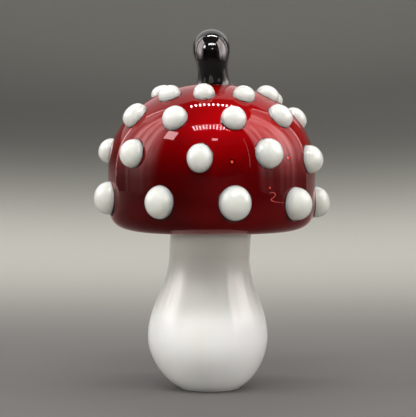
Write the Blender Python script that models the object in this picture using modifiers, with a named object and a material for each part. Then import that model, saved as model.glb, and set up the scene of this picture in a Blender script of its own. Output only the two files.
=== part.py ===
"""A hand-blown glass mushroom ornament that stands on its stem or hangs by its loop.

The white stem is a blown bulb with a ground foot. The ruby cap is a second blown bubble, flattened
underneath and fused a little off centre to the stem's lip. Four rings of white dots are dropped on
the cap hot, and a black hanging loop is drawn up from a pad at its crown.

Metres, +Z up. The origin is under the middle of the whole, on the level of the foot, and -Y is the
front.
"""

import math

import bmesh
import bpy
from mathutils import Matrix, Vector

MM = 0.001

# Joints between the pieces
SEAT_GAP = 0.3 * MM  # left between two pieces that are fused on the real ornament

# Stem
STEM_HEIGHT = 54.2 * MM  # up to the seat of the cap
STEM_SHIFT = -1.3 * MM
FOOT_RADIUS = 11.2 * MM
FOOT_EDGE = 0.9 * MM  # ground corner between the foot and the side
BULB_RADIUS = 21.0 * MM
BULB_HEIGHT = 17.8 * MM
NECK_RADIUS = 14.2 * MM
NECK_LENGTH = 8.2 * MM
STEM_WALL = 3.2 * MM
STEM_BASE = 6.5 * MM  # glass left under the hollow
PONTIL_RADIUS = 5.6 * MM
PONTIL_DEPTH = 0.8 * MM
STEM_STEPS = 44

# Cap: its heights are over the seat
CAP_RADIUS = 36.1 * MM
CAP_SHIFT = -0.5 * MM
SHOULDER_HEIGHT = 22.3 * MM  # where the straight side goes over into the dome
DOME_HEIGHT = 29.7 * MM
SKIRT_ROUND = 8.7 * MM  # radius of the turned-in lower edge
UNDERSIDE_DISH = 0.5 * MM  # how much the lower edge stands over the seat
CAP_WALL = 2.8 * MM
SEAT_MARGIN = 1.2 * MM  # flat of the seat past the stem's lip
CAP_STEPS = 48
DOME_STEPS = 15

# Dots: a hot blob is widest where it touches the cap, and slumps downhill before it sets
DOT_WAIST = 0.10  # height of the widest ring, as a share of the rise
DOT_FOOT = 0.97  # width of the underside over the widest
DOT_SLUMP = 0.03  # how far the top of a dot slides downhill, as a share of its width
DOT_SEGMENTS = 14
DOT_RINGS = 6
DOTS_IN_ROW = 9

# Each row: the rise of its dots, then for each dot in view its bearing (degrees, 0 at the front and 90
# at the right), its place as a share of the cap's height, its width and its length up the slope, then
# the first and last bearing of the dots behind
DOT_ROWS = {
    "skirt": (5.5 * MM, (
        (-74, 0.238, 10.6 * MM, 11.2 * MM),
        (-27.8, 0.224, 9.7 * MM, 10.9 * MM),
        (12.1, 0.221, 10.9 * MM, 11.4 * MM),
        (50.5, 0.209, 10.6 * MM, 11.0 * MM),
        (94, 0.204, 10.8 * MM, 10.9 * MM),
    ), (133, 248)),
    "belt": (4.6 * MM, (
        (-96.5, 0.547, 8.9 * MM, 9.0 * MM),
        (-46.8, 0.529, 8.9 * MM, 9.7 * MM),
        (-6.3, 0.501, 8.6 * MM, 9.5 * MM),
        (31.5, 0.530, 10.2 * MM, 9.9 * MM),
        (67, 0.493, 9.4 * MM, 9.5 * MM),
    ), (111, 226)),
    "shoulder": (4.4 * MM, (
        (-60, 0.765, 8.6 * MM, 9.3 * MM),
        (-23.4, 0.745, 8.6 * MM, 8.9 * MM),
        (13.5, 0.742, 8.6 * MM, 8.6 * MM),
        (50, 0.760, 9.0 * MM, 8.9 * MM),
        (102, 0.757, 9.2 * MM, 8.9 * MM),
    ), (138, 241)),
    "crown": (3.85 * MM, (
        (-111, 0.920, 8.0 * MM, 7.7 * MM),
        (-42.5, 0.897, 8.2 * MM, 7.5 * MM),
        (-7.3, 0.904, 7.4 * MM, 7.6 * MM),
        (30, 0.892, 7.7 * MM, 7.6 * MM),
        (72, 0.904, 8.2 * MM, 8.1 * MM),
        (105.5, 0.883, 7.3 * MM, 7.5 * MM),
    ), (143, 212)),
}

# Hanging loop
LOOP_HEIGHT = 18.7 * MM  # from the cap's crown to the top of the loop
LOOP_WIDTH = 12.9 * MM  # of the bow, across the loop's plane
LOOP_ROUND = 6.2 * MM  # from the middle of the rod to its outer face
LOOP_INNER = 2.4 * MM  # from the middle of the rod to the flattened face in the eye
EYE_RADIUS = 3.6 * MM
LOOP_WAIST = 0.79  # thickness of the legs over that of the bow
WAIST_HEIGHT = 3.6 * MM
LOOP_FLARE = 0.30  # added to the thickness where the legs meet the cap
FLARE_HEIGHT = 1.2 * MM  # over which the flare dies away
LOOP_ROOT = 3.0 * MM  # how far the legs run on under the crown before the cap cuts them
SETTLE_HEIGHT = 4.0 * MM  # up to which the legs lean to the crown's curve
PAD_WIDTH = 13.0 * MM
PAD_DEPTH = 22.0 * MM
PAD_RISE = 1.4 * MM
LOOP_SHIFT = 0.6 * MM  # from the crown towards the right
LOOP_LEAN = math.radians(-3.2)  # and back to the left
LOOP_SECTION_STEPS = 20
LOOP_BOW_STEPS = 14

COLOURS = {
    "opal_white_glass": ((0.88, 0.87, 0.82), 0.08, 0.0),
    "ruby_glass": ((0.30, 0.003, 0.012), 0.04, 0.5),
    "black_glass": ((0.012, 0.010, 0.011), 0.05, 0.0),
}


def clear_scene():
    for obj in list(bpy.data.objects):
        bpy.data.objects.remove(obj)


def collection(name):
    made = bpy.data.collections.new(name)
    bpy.context.scene.collection.children.link(made)
    return made


def glass(name):
    colour, roughness, transmission = COLOURS[name]
    material = bpy.data.materials.new(name)
    material.use_nodes = True
    shader = material.node_tree.nodes["Principled BSDF"]
    shader.inputs["Base Color"].default_value = (*colour, 1.0)
    shader.inputs["Roughness"].default_value = roughness
    shader.inputs["Metallic"].default_value = 0.0
    shader.inputs["Transmission Weight"].default_value = transmission
    material.diffuse_color = (*colour, 1.0)
    return material


def bezier(start, start_handle, end_handle, end, steps):
    """Points on a cubic curve, both ends included."""
    ends = [Vector(p) for p in (start, start_handle, end_handle, end)]
    points = []
    for i in range(steps + 1):
        t = i / steps
        weights = ((1 - t) ** 3, 3 * t * (1 - t) ** 2, 3 * t**2 * (1 - t), t**3)
        points.append(sum((w * p for w, p in zip(weights, ends)), Vector((0, 0))))
    return points


def arc(centre, radius_x, radius_z, start, end, steps):
    """Points on an elliptical arc between two angles from the +X side, both ends included."""
    points = []
    for i in range(steps + 1):
        angle = start + (end - start) * i / steps
        reach = Vector((radius_x * math.cos(angle), radius_z * math.sin(angle)))
        points.append(Vector(centre) + reach)
    return points


def turned(name, profile, steps, material, home):
    """A profile of (radius, height) points turned about Z, its outer side listed top to bottom."""
    mesh = bpy.data.meshes.new(name)
    vertices = [(p[0], 0.0, p[1]) for p in profile]
    mesh.from_pydata(vertices, [(i, i + 1) for i in range(len(vertices) - 1)], [])
    mesh.materials.append(material)
    obj = bpy.data.objects.new(name, mesh)
    home.objects.link(obj)
    screw = obj.modifiers.new("turn", "SCREW")
    screw.angle = math.tau
    screw.steps = screw.render_steps = steps
    screw.use_merge_vertices = True
    screw.merge_threshold = 0.00001
    screw.use_smooth_shade = True
    return obj


def side_of_stem(inset):
    """The stem's side from the bulb up to the lip, moved inwards by inset."""
    neck_start = STEM_HEIGHT - NECK_LENGTH
    pull = 0.38 * (neck_start - BULB_HEIGHT)
    bulb, neck = BULB_RADIUS - inset, NECK_RADIUS - inset
    handles = (bulb, BULB_HEIGHT + pull), (neck, neck_start - pull)
    side = bezier((bulb, BULB_HEIGHT), *handles, (neck, neck_start), 9)
    side.append(Vector((neck, STEM_HEIGHT - SEAT_GAP)))
    return side


def make_stem(material, home):
    hollow = BULB_RADIUS - STEM_WALL
    bottom_handle = (0.62 * hollow, STEM_BASE)
    side_handle = (hollow, 0.5 * (STEM_BASE + BULB_HEIGHT))
    inner = bezier((0, STEM_BASE), bottom_handle, side_handle, (hollow, BULB_HEIGHT), 7)
    inner += side_of_stem(STEM_WALL)[1:]
    lower = bezier(
        (BULB_RADIUS, BULB_HEIGHT),
        (BULB_RADIUS, 0.62 * BULB_HEIGHT),
        (FOOT_RADIUS + 0.57 * (BULB_RADIUS - FOOT_RADIUS), 0.2 * BULB_HEIGHT),
        (FOOT_RADIUS, 0.35 * FOOT_EDGE),
        9,
    )
    mark_middle = 0.55 * PONTIL_RADIUS
    foot = [
        Vector((FOOT_RADIUS - FOOT_EDGE, 0)),
        Vector((PONTIL_RADIUS, 0)),
        Vector((mark_middle, PONTIL_DEPTH * (1 - (mark_middle / PONTIL_RADIUS) ** 2))),
        Vector((0, PONTIL_DEPTH)),
    ]
    outer = side_of_stem(0)[::-1] + lower[1:] + foot
    stem = turned("stem", inner + outer, STEM_STEPS, material, home)
    stem.location = (STEM_SHIFT, 0, 0)


def as_cutter(obj, cutters):
    for old in list(obj.users_collection):
        old.objects.unlink(obj)
    cutters.objects.link(obj)
    obj.hide_render = True
    obj.display_type = "WIRE"


def side_of_cap(inset):
    """The cap's side from the turned-in lower edge up to the crown, moved inwards by inset."""
    skirt_centre = (CAP_RADIUS - SKIRT_ROUND, UNDERSIDE_DISH + SKIRT_ROUND)
    skirt_radius = SKIRT_ROUND - inset
    skirt = arc(skirt_centre, skirt_radius, skirt_radius, -math.pi / 2, 0, 5)
    dome = arc((0, SHOULDER_HEIGHT), CAP_RADIUS - inset, DOME_HEIGHT - inset, 0, math.pi / 2, DOME_STEPS)
    return skirt + dome


def make_cap(seat, material, home):
    bore = NECK_RADIUS - STEM_WALL
    seat_edge = NECK_RADIUS + SEAT_MARGIN
    outer = side_of_cap(0)[::-1] + [Vector((seat_edge, 0)), Vector((bore, 0))]
    inner = [Vector((bore, CAP_WALL)), Vector((seat_edge, CAP_WALL))] + side_of_cap(CAP_WALL)
    cap = turned("cap", outer + inner, CAP_STEPS, material, home)
    cap.parent = seat
    return cap


def place_on_cap(share):
    """A point (radius, height) of the cap's side and its normal, at a share of the cap's height."""
    side = side_of_cap(0)
    height = share * side[-1][1]
    for below, above in zip(side, side[1:]):
        if above[1] >= height:
            break
    point = below.lerp(above, (height - below[1]) / (above[1] - below[1]))
    along = (above - below).normalized()
    return point, Vector((along[1], -along[0]))


def dots_in_row(seen, back):
    """The seen dots, then the rest at even bearings behind, going over from the last to the first."""
    rest = DOTS_IN_ROW - len(seen)
    first, last = seen[0], seen[-1]
    dots = list(seen)
    for i in range(rest):
        share = (i + 1) / (rest + 1)
        bearing = back[0] + (back[1] - back[0]) * i / (rest - 1)
        sizes = (b + (a - b) * share for a, b in zip(first[1:], last[1:]))
        dots.append((bearing, *sizes))
    return dots


def dot_mesh(name, width, length, rise, material):
    """A blob standing on Z = 0: a sphere whose lower half is pressed flat to be the underside."""
    made = bmesh.new()
    bmesh.ops.create_uvsphere(made, u_segments=DOT_SEGMENTS, v_segments=DOT_RINGS, radius=1)
    underside = []
    for vertex in made.verts:
        x, y, z = vertex.co
        height = rise * (DOT_WAIST + (1 - DOT_WAIST) * z)
        if z < -0.01:
            underside.append(vertex.index)
            height = 0
        if -0.6 < z < -0.01:  # the ring round the underside
            spread = DOT_FOOT / math.hypot(x, y)
            x, y = x * spread, y * spread
        downhill = -DOT_SLUMP * width * max(0.0, z)
        vertex.co = (x * width / 2, y * length / 2 + downhill, height)
    mesh = bpy.data.meshes.new(name)
    made.to_mesh(mesh)
    made.free()
    mesh.materials.append(material)
    mesh.shade_smooth()
    return mesh, underside


def make_dots(cap, seat, material, home):
    """Every dot stands out from the cap, and its underside is wrapped to the cap's surface."""
    for row, (rise, seen, back) in DOT_ROWS.items():
        for number, (bearing, place, width, length) in enumerate(dots_in_row(seen, back), 1):
            name = f"dot_{row}_{number}"
            mesh, underside = dot_mesh(name, width, length, rise, material)
            dot = bpy.data.objects.new(name, mesh)
            home.objects.link(dot)
            (radius, height), (out, up) = place_on_cap(place)
            turn = math.radians(bearing)
            normal = Vector((out * math.sin(turn), -out * math.cos(turn), up))
            sideways = Vector((math.cos(turn), math.sin(turn), 0))
            uphill = normal.cross(sideways)
            dot.parent = seat
            dot.rotation_euler = Matrix((sideways, uphill, normal)).transposed().to_euler()
            dot.location = (radius * math.sin(turn), -radius * math.cos(turn), height)
            group = dot.vertex_groups.new(name="underside")
            group.add(underside, 1.0, "REPLACE")
            wrap = dot.modifiers.new("seat_on_cap", "SHRINKWRAP")
            wrap.wrap_method = "PROJECT"
            wrap.use_project_z = True
            wrap.use_negative_direction = True
            wrap.use_positive_direction = True
            wrap.target = cap
            wrap.offset = SEAT_GAP
            wrap.vertex_group = group.name


def loop_thickness(height, rod_top):
    """The rod is thickest in the bow, drawn thin below it, and flares out on to the cap."""
    up = min(1.0, max(0.0, (height - WAIST_HEIGHT) / (rod_top - WAIST_HEIGHT)))
    flare = LOOP_FLARE * math.exp(-max(0.0, height + 0.5 * MM) / FLARE_HEIGHT)
    return LOOP_WAIST + (1 - LOOP_WAIST) * up * up * (3 - 2 * up) + flare


def loop_rod(rod_middle, cutters):
    """The bent rod: an arch in the YZ plane, egg-shaped in section, thinner in its legs."""
    section = bpy.data.curves.new("loop_section", "CURVE")
    section.dimensions = "2D"
    ring = section.splines.new("POLY")
    ring.points.add(LOOP_SECTION_STEPS - 1)
    for i, point in enumerate(ring.points):
        angle = math.tau * i / LOOP_SECTION_STEPS
        reach = LOOP_ROUND if math.cos(angle) > 0 else LOOP_INNER
        point.co = (reach * math.cos(angle), LOOP_WIDTH / 2 * math.sin(angle), 0, 1)
    ring.use_cyclic_u = True
    guide = bpy.data.objects.new("loop_section", section)
    cutters.objects.link(guide)
    as_cutter(guide, cutters)

    bow_radius = EYE_RADIUS + LOOP_INNER
    bow = []
    for i in range(LOOP_BOW_STEPS + 1):
        angle = math.pi * i / LOOP_BOW_STEPS
        bow.append((bow_radius * math.cos(angle), rod_middle + bow_radius * math.sin(angle)))
    leg_heights = [-LOOP_ROOT] + [FLARE_HEIGHT * step for step in (-0.4, 0.3, 1.1, 2.0, 3.4)]
    near = [(bow_radius, height) for height in leg_heights]
    far = [(-bow_radius, height) for height in leg_heights[::-1]]
    path = near + bow + far

    curve = bpy.data.curves.new("loop_path", "CURVE")
    curve.dimensions = "3D"
    curve.twist_mode = "Z_UP"
    curve.fill_mode = "FULL"
    curve.bevel_mode = "OBJECT"
    curve.bevel_object = guide
    curve.use_fill_caps = True
    spline = curve.splines.new("POLY")
    spline.points.add(len(path) - 1)
    for point, (x, y) in zip(spline.points, path):
        point.co = (x, y, 0, 1)
        point.radius = loop_thickness(y, rod_middle + bow_radius)
    return curve


def as_mesh_object(obj, name, home):
    """The evaluated object as a mesh object of that name, its loose caps welded on."""
    bpy.context.view_layer.update()
    graph = bpy.context.evaluated_depsgraph_get()
    mesh = bpy.data.meshes.new_from_object(obj.evaluated_get(graph))
    welded = bmesh.new()
    welded.from_mesh(mesh)
    bmesh.ops.remove_doubles(welded, verts=welded.verts, dist=0.00001)
    bmesh.ops.recalc_face_normals(welded, faces=welded.faces)
    welded.to_mesh(mesh)
    welded.free()
    made = bpy.data.objects.new(name, mesh)
    home.objects.link(made)
    made.matrix_world = obj.matrix_world
    bpy.data.objects.remove(obj)
    return made


def settle(mesh):
    """Lets the foot of the loop sink to the crown's curve, whose round its middle line doesn't know."""
    crown_round = CAP_RADIUS**2 / DOME_HEIGHT
    for vertex in mesh.vertices:
        x, y, z = vertex.co
        share = 1 - min(1.0, max(0.0, z / SETTLE_HEIGHT))
        vertex.co.z = z - share * share * (3 - 2 * share) * (x * x + y * y) / (2 * crown_round)


def make_loop(seat, material, home, cutters):
    """The rod and the pad it is drawn from, made one and cut to sit on the crown."""
    rod_middle = LOOP_HEIGHT - LOOP_ROUND - EYE_RADIUS - LOOP_INNER
    rod = bpy.data.objects.new("loop_path", loop_rod(rod_middle, cutters))
    home.objects.link(rod)
    rod.rotation_euler = (math.pi / 2, 0, math.pi / 2)
    loop = as_mesh_object(rod, "hanging_loop", home)
    loop.data.transform(loop.matrix_world)
    loop.matrix_world = Matrix.Identity(4)
    settle(loop.data)
    loop.data.materials.clear()
    loop.data.materials.append(material)
    loop.data.shade_smooth()

    bpy.ops.mesh.primitive_uv_sphere_add(segments=24, ring_count=10, radius=1)
    pad = bpy.context.object
    pad.name = "loop_pad"
    for vertex in pad.data.vertices:
        x, y, z = vertex.co
        vertex.co = (x * PAD_WIDTH / 2, y * PAD_DEPTH / 2, z * PAD_RISE)
    settle(pad.data)
    as_cutter(pad, cutters)

    wide, tall = CAP_RADIUS + SEAT_GAP, DOME_HEIGHT + SEAT_GAP
    dome = arc((0, SHOULDER_HEIGHT), wide, tall, math.pi / 2, 0, DOME_STEPS)
    dome.append(Vector((0, SHOULDER_HEIGHT)))
    envelope = turned("crown_cutter", dome, CAP_STEPS, material, cutters)
    as_cutter(envelope, cutters)
    envelope.parent = seat

    for piece in (loop, pad):
        piece.parent = seat
        piece.location = (LOOP_SHIFT, 0, SHOULDER_HEIGHT + DOME_HEIGHT)
        piece.rotation_euler = (0, LOOP_LEAN, 0)
    for name, operation, other in (("pad", "UNION", pad), ("seat_on_crown", "DIFFERENCE", envelope)):
        step = loop.modifiers.new(name, "BOOLEAN")
        step.operation = operation
        step.solver = "EXACT"
        step.object = other


def build():
    clear_scene()
    ornament = collection("glass_mushroom_ornament")
    cutters = collection("cutters")
    opal, ruby, black = (glass(name) for name in COLOURS)

    seat = bpy.data.objects.new("cap_seat", None)
    ornament.objects.link(seat)
    seat.location = (CAP_SHIFT, 0, STEM_HEIGHT)

    make_stem(opal, ornament)
    cap = make_cap(seat, ruby, ornament)
    make_dots(cap, seat, opal, ornament)
    make_loop(seat, black, ornament, cutters)


build()
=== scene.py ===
"""The looks of a hand-blown glass mushroom: a white stem, a ruby cap with white dots, a black loop.

Metres, +Z up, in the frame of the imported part. -Y is the front.
"""

import math

import bpy
from mathutils import Matrix, Vector


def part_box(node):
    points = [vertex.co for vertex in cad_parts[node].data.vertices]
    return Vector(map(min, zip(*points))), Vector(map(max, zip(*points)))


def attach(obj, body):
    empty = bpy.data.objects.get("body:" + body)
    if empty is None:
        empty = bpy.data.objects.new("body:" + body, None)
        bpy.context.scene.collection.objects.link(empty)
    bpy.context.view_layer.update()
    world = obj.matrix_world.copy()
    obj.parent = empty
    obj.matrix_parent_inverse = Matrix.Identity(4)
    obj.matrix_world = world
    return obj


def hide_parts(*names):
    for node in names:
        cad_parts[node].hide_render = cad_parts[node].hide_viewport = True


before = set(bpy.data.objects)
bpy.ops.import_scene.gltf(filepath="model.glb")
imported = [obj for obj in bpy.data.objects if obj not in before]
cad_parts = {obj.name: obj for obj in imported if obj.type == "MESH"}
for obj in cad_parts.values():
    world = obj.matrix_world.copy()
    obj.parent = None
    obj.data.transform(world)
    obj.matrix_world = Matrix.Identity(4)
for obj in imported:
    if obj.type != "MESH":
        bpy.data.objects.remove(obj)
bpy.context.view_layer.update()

# Stem: opaque white glass, a bubble blown out to a bulb and drawn in to a neck, then fire-polished.
# It was made on the blowpipe and knocked off, so that the foot is ground flat round a pontil mark.

MM = 0.001

FOOT_RADIUS = 10.9 * MM
FOOT_EDGE = 0.9 * MM  # ground corner between the foot and the side
BULB_HEIGHT = 17.8 * MM
NECK_RADIUS = 14.1 * MM
NECK_LENGTH = 8.2 * MM
STEM_WALL = 3.2 * MM
STEM_BASE = 6.5 * MM  # glass left under the hollow
PONTIL_RADIUS = 5.6 * MM
PONTIL_DEPTH = 0.8 * MM
BOW = -0.55 * MM  # how far the bulb sits to the left of the axis
BOW_AT_NECK = 0.55 * MM
BOW_AT_FOOT = 0.25 * MM
STEM_PULL = 0.38  # of the shoulder's two curves, as a share of its height

stem_low, stem_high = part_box("stem")
cap_low, cap_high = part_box("cap")
BULB_RADIUS = (stem_high.x - stem_low.x) / 2
STEM_HEIGHT = cap_low.z
stem_axis = Vector(((stem_low.x + stem_high.x) / 2, (stem_low.y + stem_high.y) / 2, 0))


def linear(code):
    """An sRGB hex colour as linear numbers."""
    channels = [int(code[i : i + 2], 16) / 255 for i in (1, 3, 5)]
    return tuple(c / 12.92 if c <= 0.04045 else ((c + 0.055) / 1.055) ** 2.4 for c in channels) + (1.0,)


def add(tree, kind, settings=(), links=()):
    """Adds a node. Settings are its properties and loose sockets, links its joined ones."""
    made = tree.nodes.new(kind)
    for name, value in dict(settings).items():
        if isinstance(name, int) or name in made.inputs:
            made.inputs[name].default_value = value
        else:
            setattr(made, name, value)
    for name, source in dict(links).items():
        tree.links.new(source, made.inputs[name])
    return made


def new_material(name):
    """An empty material's tree, its shader and the piece's own coordinates."""
    material = bpy.data.materials.new(name)
    material.use_nodes = True
    tree = material.node_tree
    here = add(tree, "ShaderNodeTexCoord").outputs["Object"]
    return material, tree, tree.nodes["Principled BSDF"], here


def bezier(start, start_handle, end_handle, end, steps):
    """Points (radius, height) on a cubic curve, both ends included."""
    ends = [Vector(p) for p in (start, start_handle, end_handle, end)]
    points = []
    for i in range(steps + 1):
        t = i / steps
        weights = ((1 - t) ** 3, 3 * t * (1 - t) ** 2, 3 * t**2 * (1 - t), t**3)
        points.append(sum((w * p for w, p in zip(weights, ends)), Vector((0, 0))))
    return points


def new_tree(name, sizes):
    """A geometry tree with one named input for each size, its input node and its output node."""
    tree = bpy.data.node_groups.new(name, "GeometryNodeTree")
    tree.interface.new_socket("Geometry", in_out="INPUT", socket_type="NodeSocketGeometry")
    for size, kind in sizes.items():
        tree.interface.new_socket(size, in_out="INPUT", socket_type="NodeSocket" + kind)
    tree.interface.new_socket("Geometry", in_out="OUTPUT", socket_type="NodeSocketGeometry")
    return tree, add(tree, "NodeGroupInput").outputs, add(tree, "NodeGroupOutput").inputs["Geometry"]


def made_by(tree, name, data, sizes):
    """Runs a geometry tree on a curve or mesh and keeps the plain mesh that comes out."""
    start = bpy.data.objects.new(name + "_start", data)
    bpy.context.scene.collection.objects.link(start)
    modifier = start.modifiers.new("tree", "NODES")
    modifier.node_group = tree
    for socket in tree.interface.items_tree:
        if socket.in_out == "INPUT" and socket.name in sizes:
            modifier[socket.identifier] = sizes[socket.name]
    graph = bpy.context.evaluated_depsgraph_get()
    mesh = bpy.data.meshes.new_from_object(start.evaluated_get(graph))
    mesh.name = name
    bpy.data.objects.remove(start)
    piece = bpy.data.objects.new(name, mesh)
    bpy.context.scene.collection.objects.link(piece)
    return piece


TURN_RADIUS = 50 * MM  # of the ring that a half outline is carried round


def half_outline(name, points):
    """A half outline of (radius, height) points as a curve for the turning tree."""
    curve = bpy.data.curves.new(name, "CURVE")
    curve.dimensions = "3D"
    spline = curve.splines.new("POLY")
    spline.points.add(len(points) - 1)
    for point, (radius, height) in zip(spline.points, points):
        point.co = (radius - TURN_RADIUS, -height, 0, 1)
    return curve


# Turning: the half outline goes round in a ring, and slow waves are left in it, as in any glass that
# was shaped by hand. The ring's profile stands on its side, which is what the curve's -Y is for.
turning, sizes, result = new_tree(
    "turning",
    {"Steps round": "Int", "Wave height": "Float", "Wave length": "Float", "Glass": "Material"},
)
ring = add(
    turning,
    "GeometryNodeCurvePrimitiveCircle",
    {"Radius": TURN_RADIUS},
    {"Resolution": sizes["Steps round"]},
)
turned = add(
    turning,
    "GeometryNodeCurveToMesh",
    (),
    {"Curve": ring.outputs[0], "Profile Curve": sizes["Geometry"]},
)
closed = add(
    turning, "GeometryNodeMergeByDistance", {"Distance": 0.002 * MM}, {"Geometry": turned.outputs[0]}
)
place = add(turning, "GeometryNodeInputPosition")
stretch = add(turning, "ShaderNodeMath", {"operation": "DIVIDE", 0: 1.0}, {1: sizes["Wave length"]})
waves = add(
    turning,
    "ShaderNodeTexNoise",
    {"Detail": 1.0, "Roughness": 0.4},
    {"Vector": place.outputs[0], "Scale": stretch.outputs[0]},
)
level = add(turning, "ShaderNodeMath", {"operation": "SUBTRACT", 1: 0.5}, {0: waves.outputs["Fac"]})
height = add(
    turning, "ShaderNodeMath", {"operation": "MULTIPLY"}, {0: level.outputs[0], 1: sizes["Wave height"]}
)
outwards = add(turning, "GeometryNodeInputNormal")
push = add(
    turning,
    "ShaderNodeVectorMath",
    {"operation": "SCALE"},
    {0: outwards.outputs[0], "Scale": height.outputs[0]},
)
waved = add(
    turning, "GeometryNodeSetPosition", (), {"Geometry": closed.outputs[0], "Offset": push.outputs[0]}
)
smooth = add(turning, "GeometryNodeSetShadeSmooth", (), {"Geometry": waved.outputs[0]})
glazed = add(
    turning, "GeometryNodeSetMaterial", (), {"Geometry": smooth.outputs[0], "Material": sizes["Glass"]}
)
real = add(turning, "GeometryNodeRealizeInstances", (), {"Geometry": glazed.outputs[0]})
turning.links.new(real.outputs[0], result)


def side_of_stem(inset, steps):
    """The stem's side from the bulb up to the lip, moved inwards by inset."""
    neck_start = STEM_HEIGHT - NECK_LENGTH
    pull = STEM_PULL * (neck_start - BULB_HEIGHT)
    bulb, neck = BULB_RADIUS - inset, NECK_RADIUS - inset
    shoulder = bezier(
        (bulb, BULB_HEIGHT),
        (bulb, BULB_HEIGHT + pull),
        (neck, neck_start - pull),
        (neck, neck_start),
        steps,
    )
    straight = bezier(
        (neck, neck_start), (neck, neck_start), (neck, STEM_HEIGHT), (neck, STEM_HEIGHT), steps // 4
    )
    return shoulder + straight[1:]


# Opal glass: fluoride opal, white right through. It lets a little light in, so that shadows on it are
# soft and warm, and its skin is glossy but for the ring that is ground. Wisps of thinner white run up
# it, and the neck is painted greyer: painted shade where the cap overhangs it.
WISP = 9 * MM
CAP_SHADE_START = BULB_HEIGHT + 8 * MM
CAP_SHADE_END = STEM_HEIGHT - 8 * MM
RIPPLE = 9 * MM  # waves too shallow to see but in the highlights
opal, tree, shader, here = new_material("opal_white_blown_glass")
drawn_up = add(tree, "ShaderNodeMapping", {"Scale": (1, 1, 0.22)}, {"Vector": here})
wisps = add(
    tree,
    "ShaderNodeTexNoise",
    {"Scale": 1 / WISP, "Detail": 1.0, "Distortion": 0.4},
    {"Vector": drawn_up.outputs[0]},
)
whites = add(tree, "ShaderNodeValToRGB", (), {"Fac": wisps.outputs["Fac"]})
whites.color_ramp.elements[0].position, whites.color_ramp.elements[0].color = 0.3, linear("#F8F6F0")
whites.color_ramp.elements[1].position, whites.color_ramp.elements[1].color = 0.7, linear("#FEFCF7")
parts = add(tree, "ShaderNodeSeparateXYZ", (), {"Vector": here})
# painted shade: the white is mixed to grey up the neck towards the cap, for the cap's shadow on it
neck = add(
    tree,
    "ShaderNodeMapRange",
    {"From Min": CAP_SHADE_START, "From Max": CAP_SHADE_END},
    {"Value": parts.outputs["Z"]},
)
body = add(
    tree,
    "ShaderNodeMix",
    {"data_type": "RGBA", 7: linear("#CDC9BF")},
    {0: neck.outputs["Result"], 6: whites.outputs["Color"]},
)
tree.links.new(body.outputs[2], shader.inputs["Base Color"])
ground = add(
    tree,
    "ShaderNodeMapRange",
    {"From Min": 0.25 * MM, "From Max": 0.7 * MM, "To Min": 0.45, "To Max": 0.06},
    {"Value": parts.outputs["Z"]},
)
tree.links.new(ground.outputs["Result"], shader.inputs["Roughness"])
ripple = add(tree, "ShaderNodeTexNoise", {"Scale": 1 / RIPPLE, "Detail": 1.0}, {"Vector": here})
skin = add(
    tree, "ShaderNodeBump", {"Strength": 0.12, "Distance": 0.15 * MM}, {"Height": ripple.outputs["Fac"]}
)
tree.links.new(skin.outputs["Normal"], shader.inputs["Normal"])
shader.inputs["IOR"].default_value = 1.4
shader.inputs["Subsurface Weight"].default_value = 0.35
shader.inputs["Subsurface Radius"].default_value = (1.0, 0.85, 0.7)
shader.inputs["Subsurface Scale"].default_value = 1.6 * MM

hollow = BULB_RADIUS - STEM_WALL
stem_points = bezier(
    (0, STEM_BASE),
    (0.62 * hollow, STEM_BASE),
    (hollow, 0.5 * (STEM_BASE + BULB_HEIGHT)),
    (hollow, BULB_HEIGHT),
    20,
)
stem_points += side_of_stem(STEM_WALL, 24)[1:]
stem_points += side_of_stem(0, 56)[::-1]
stem_points += bezier(
    (BULB_RADIUS, BULB_HEIGHT),
    (BULB_RADIUS, 0.62 * BULB_HEIGHT),
    (FOOT_RADIUS + 0.57 * (BULB_RADIUS - FOOT_RADIUS), 0.2 * BULB_HEIGHT),
    (FOOT_RADIUS, 0.35 * FOOT_EDGE),
    44,
)[1:]
stem_points += bezier(
    (FOOT_RADIUS, 0.35 * FOOT_EDGE),
    (FOOT_RADIUS - 0.3 * FOOT_EDGE, 0.05 * FOOT_EDGE),
    (FOOT_RADIUS - 0.6 * FOOT_EDGE, 0),
    (FOOT_RADIUS - FOOT_EDGE, 0),
    6,
)[1:]
stem_points += bezier(
    (PONTIL_RADIUS, 0),
    (0.8 * PONTIL_RADIUS, PONTIL_DEPTH),
    (0.5 * PONTIL_RADIUS, PONTIL_DEPTH),
    (0, PONTIL_DEPTH),
    14,
)

stem = made_by(
    turning,
    "stem_glass",
    half_outline("stem_outline", stem_points),
    {"Steps round": 180, "Wave height": 0.3 * MM, "Wave length": 30 * MM, "Glass": opal},
)

# No blown stem is quite straight: the bulb sits a little to the left of its neck and foot
for vertex in stem.data.vertices:
    height = vertex.co.z
    if height > BULB_HEIGHT:
        end, reach = BOW_AT_NECK, STEM_HEIGHT - BULB_HEIGHT
    else:
        end, reach = BOW_AT_FOOT, BULB_HEIGHT
    vertex.co.x += BOW + (end - BOW) * ((height - BULB_HEIGHT) / reach) ** 2
stem.data.transform(Matrix.Translation(stem_axis))
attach(stem, "root")
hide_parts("stem")

# Cap: a second bubble, deep ruby glass cased in clear. Its skirt is turned in and pressed flat while
# it is hot, and its mouth is fused to the lip of the stem.

CAP_WALL = 2.8 * MM
UNDERSIDE_DISH = 0.5 * MM  # how much the lower edge stands over the seat
WIDEST = 19.0 * MM  # height of the widest ring over the seat
DOME_FULLNESS = 2.43  # 2 is an ellipse, more keeps the side upright for longer
SKIRT_DEPTH = 12.0 * MM  # how far in the skirt turns
SKIRT_FULLNESS = (6.0, 2.2)  # powers of its height and of its depth

cap_axis = Vector(((cap_low.x + cap_high.x) / 2, (cap_low.y + cap_high.y) / 2, 0))
CAP_RADIUS = (cap_high.x - cap_low.x) / 2
CAP_HEIGHT = cap_high.z - cap_low.z
SEAT = cap_low.z


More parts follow.
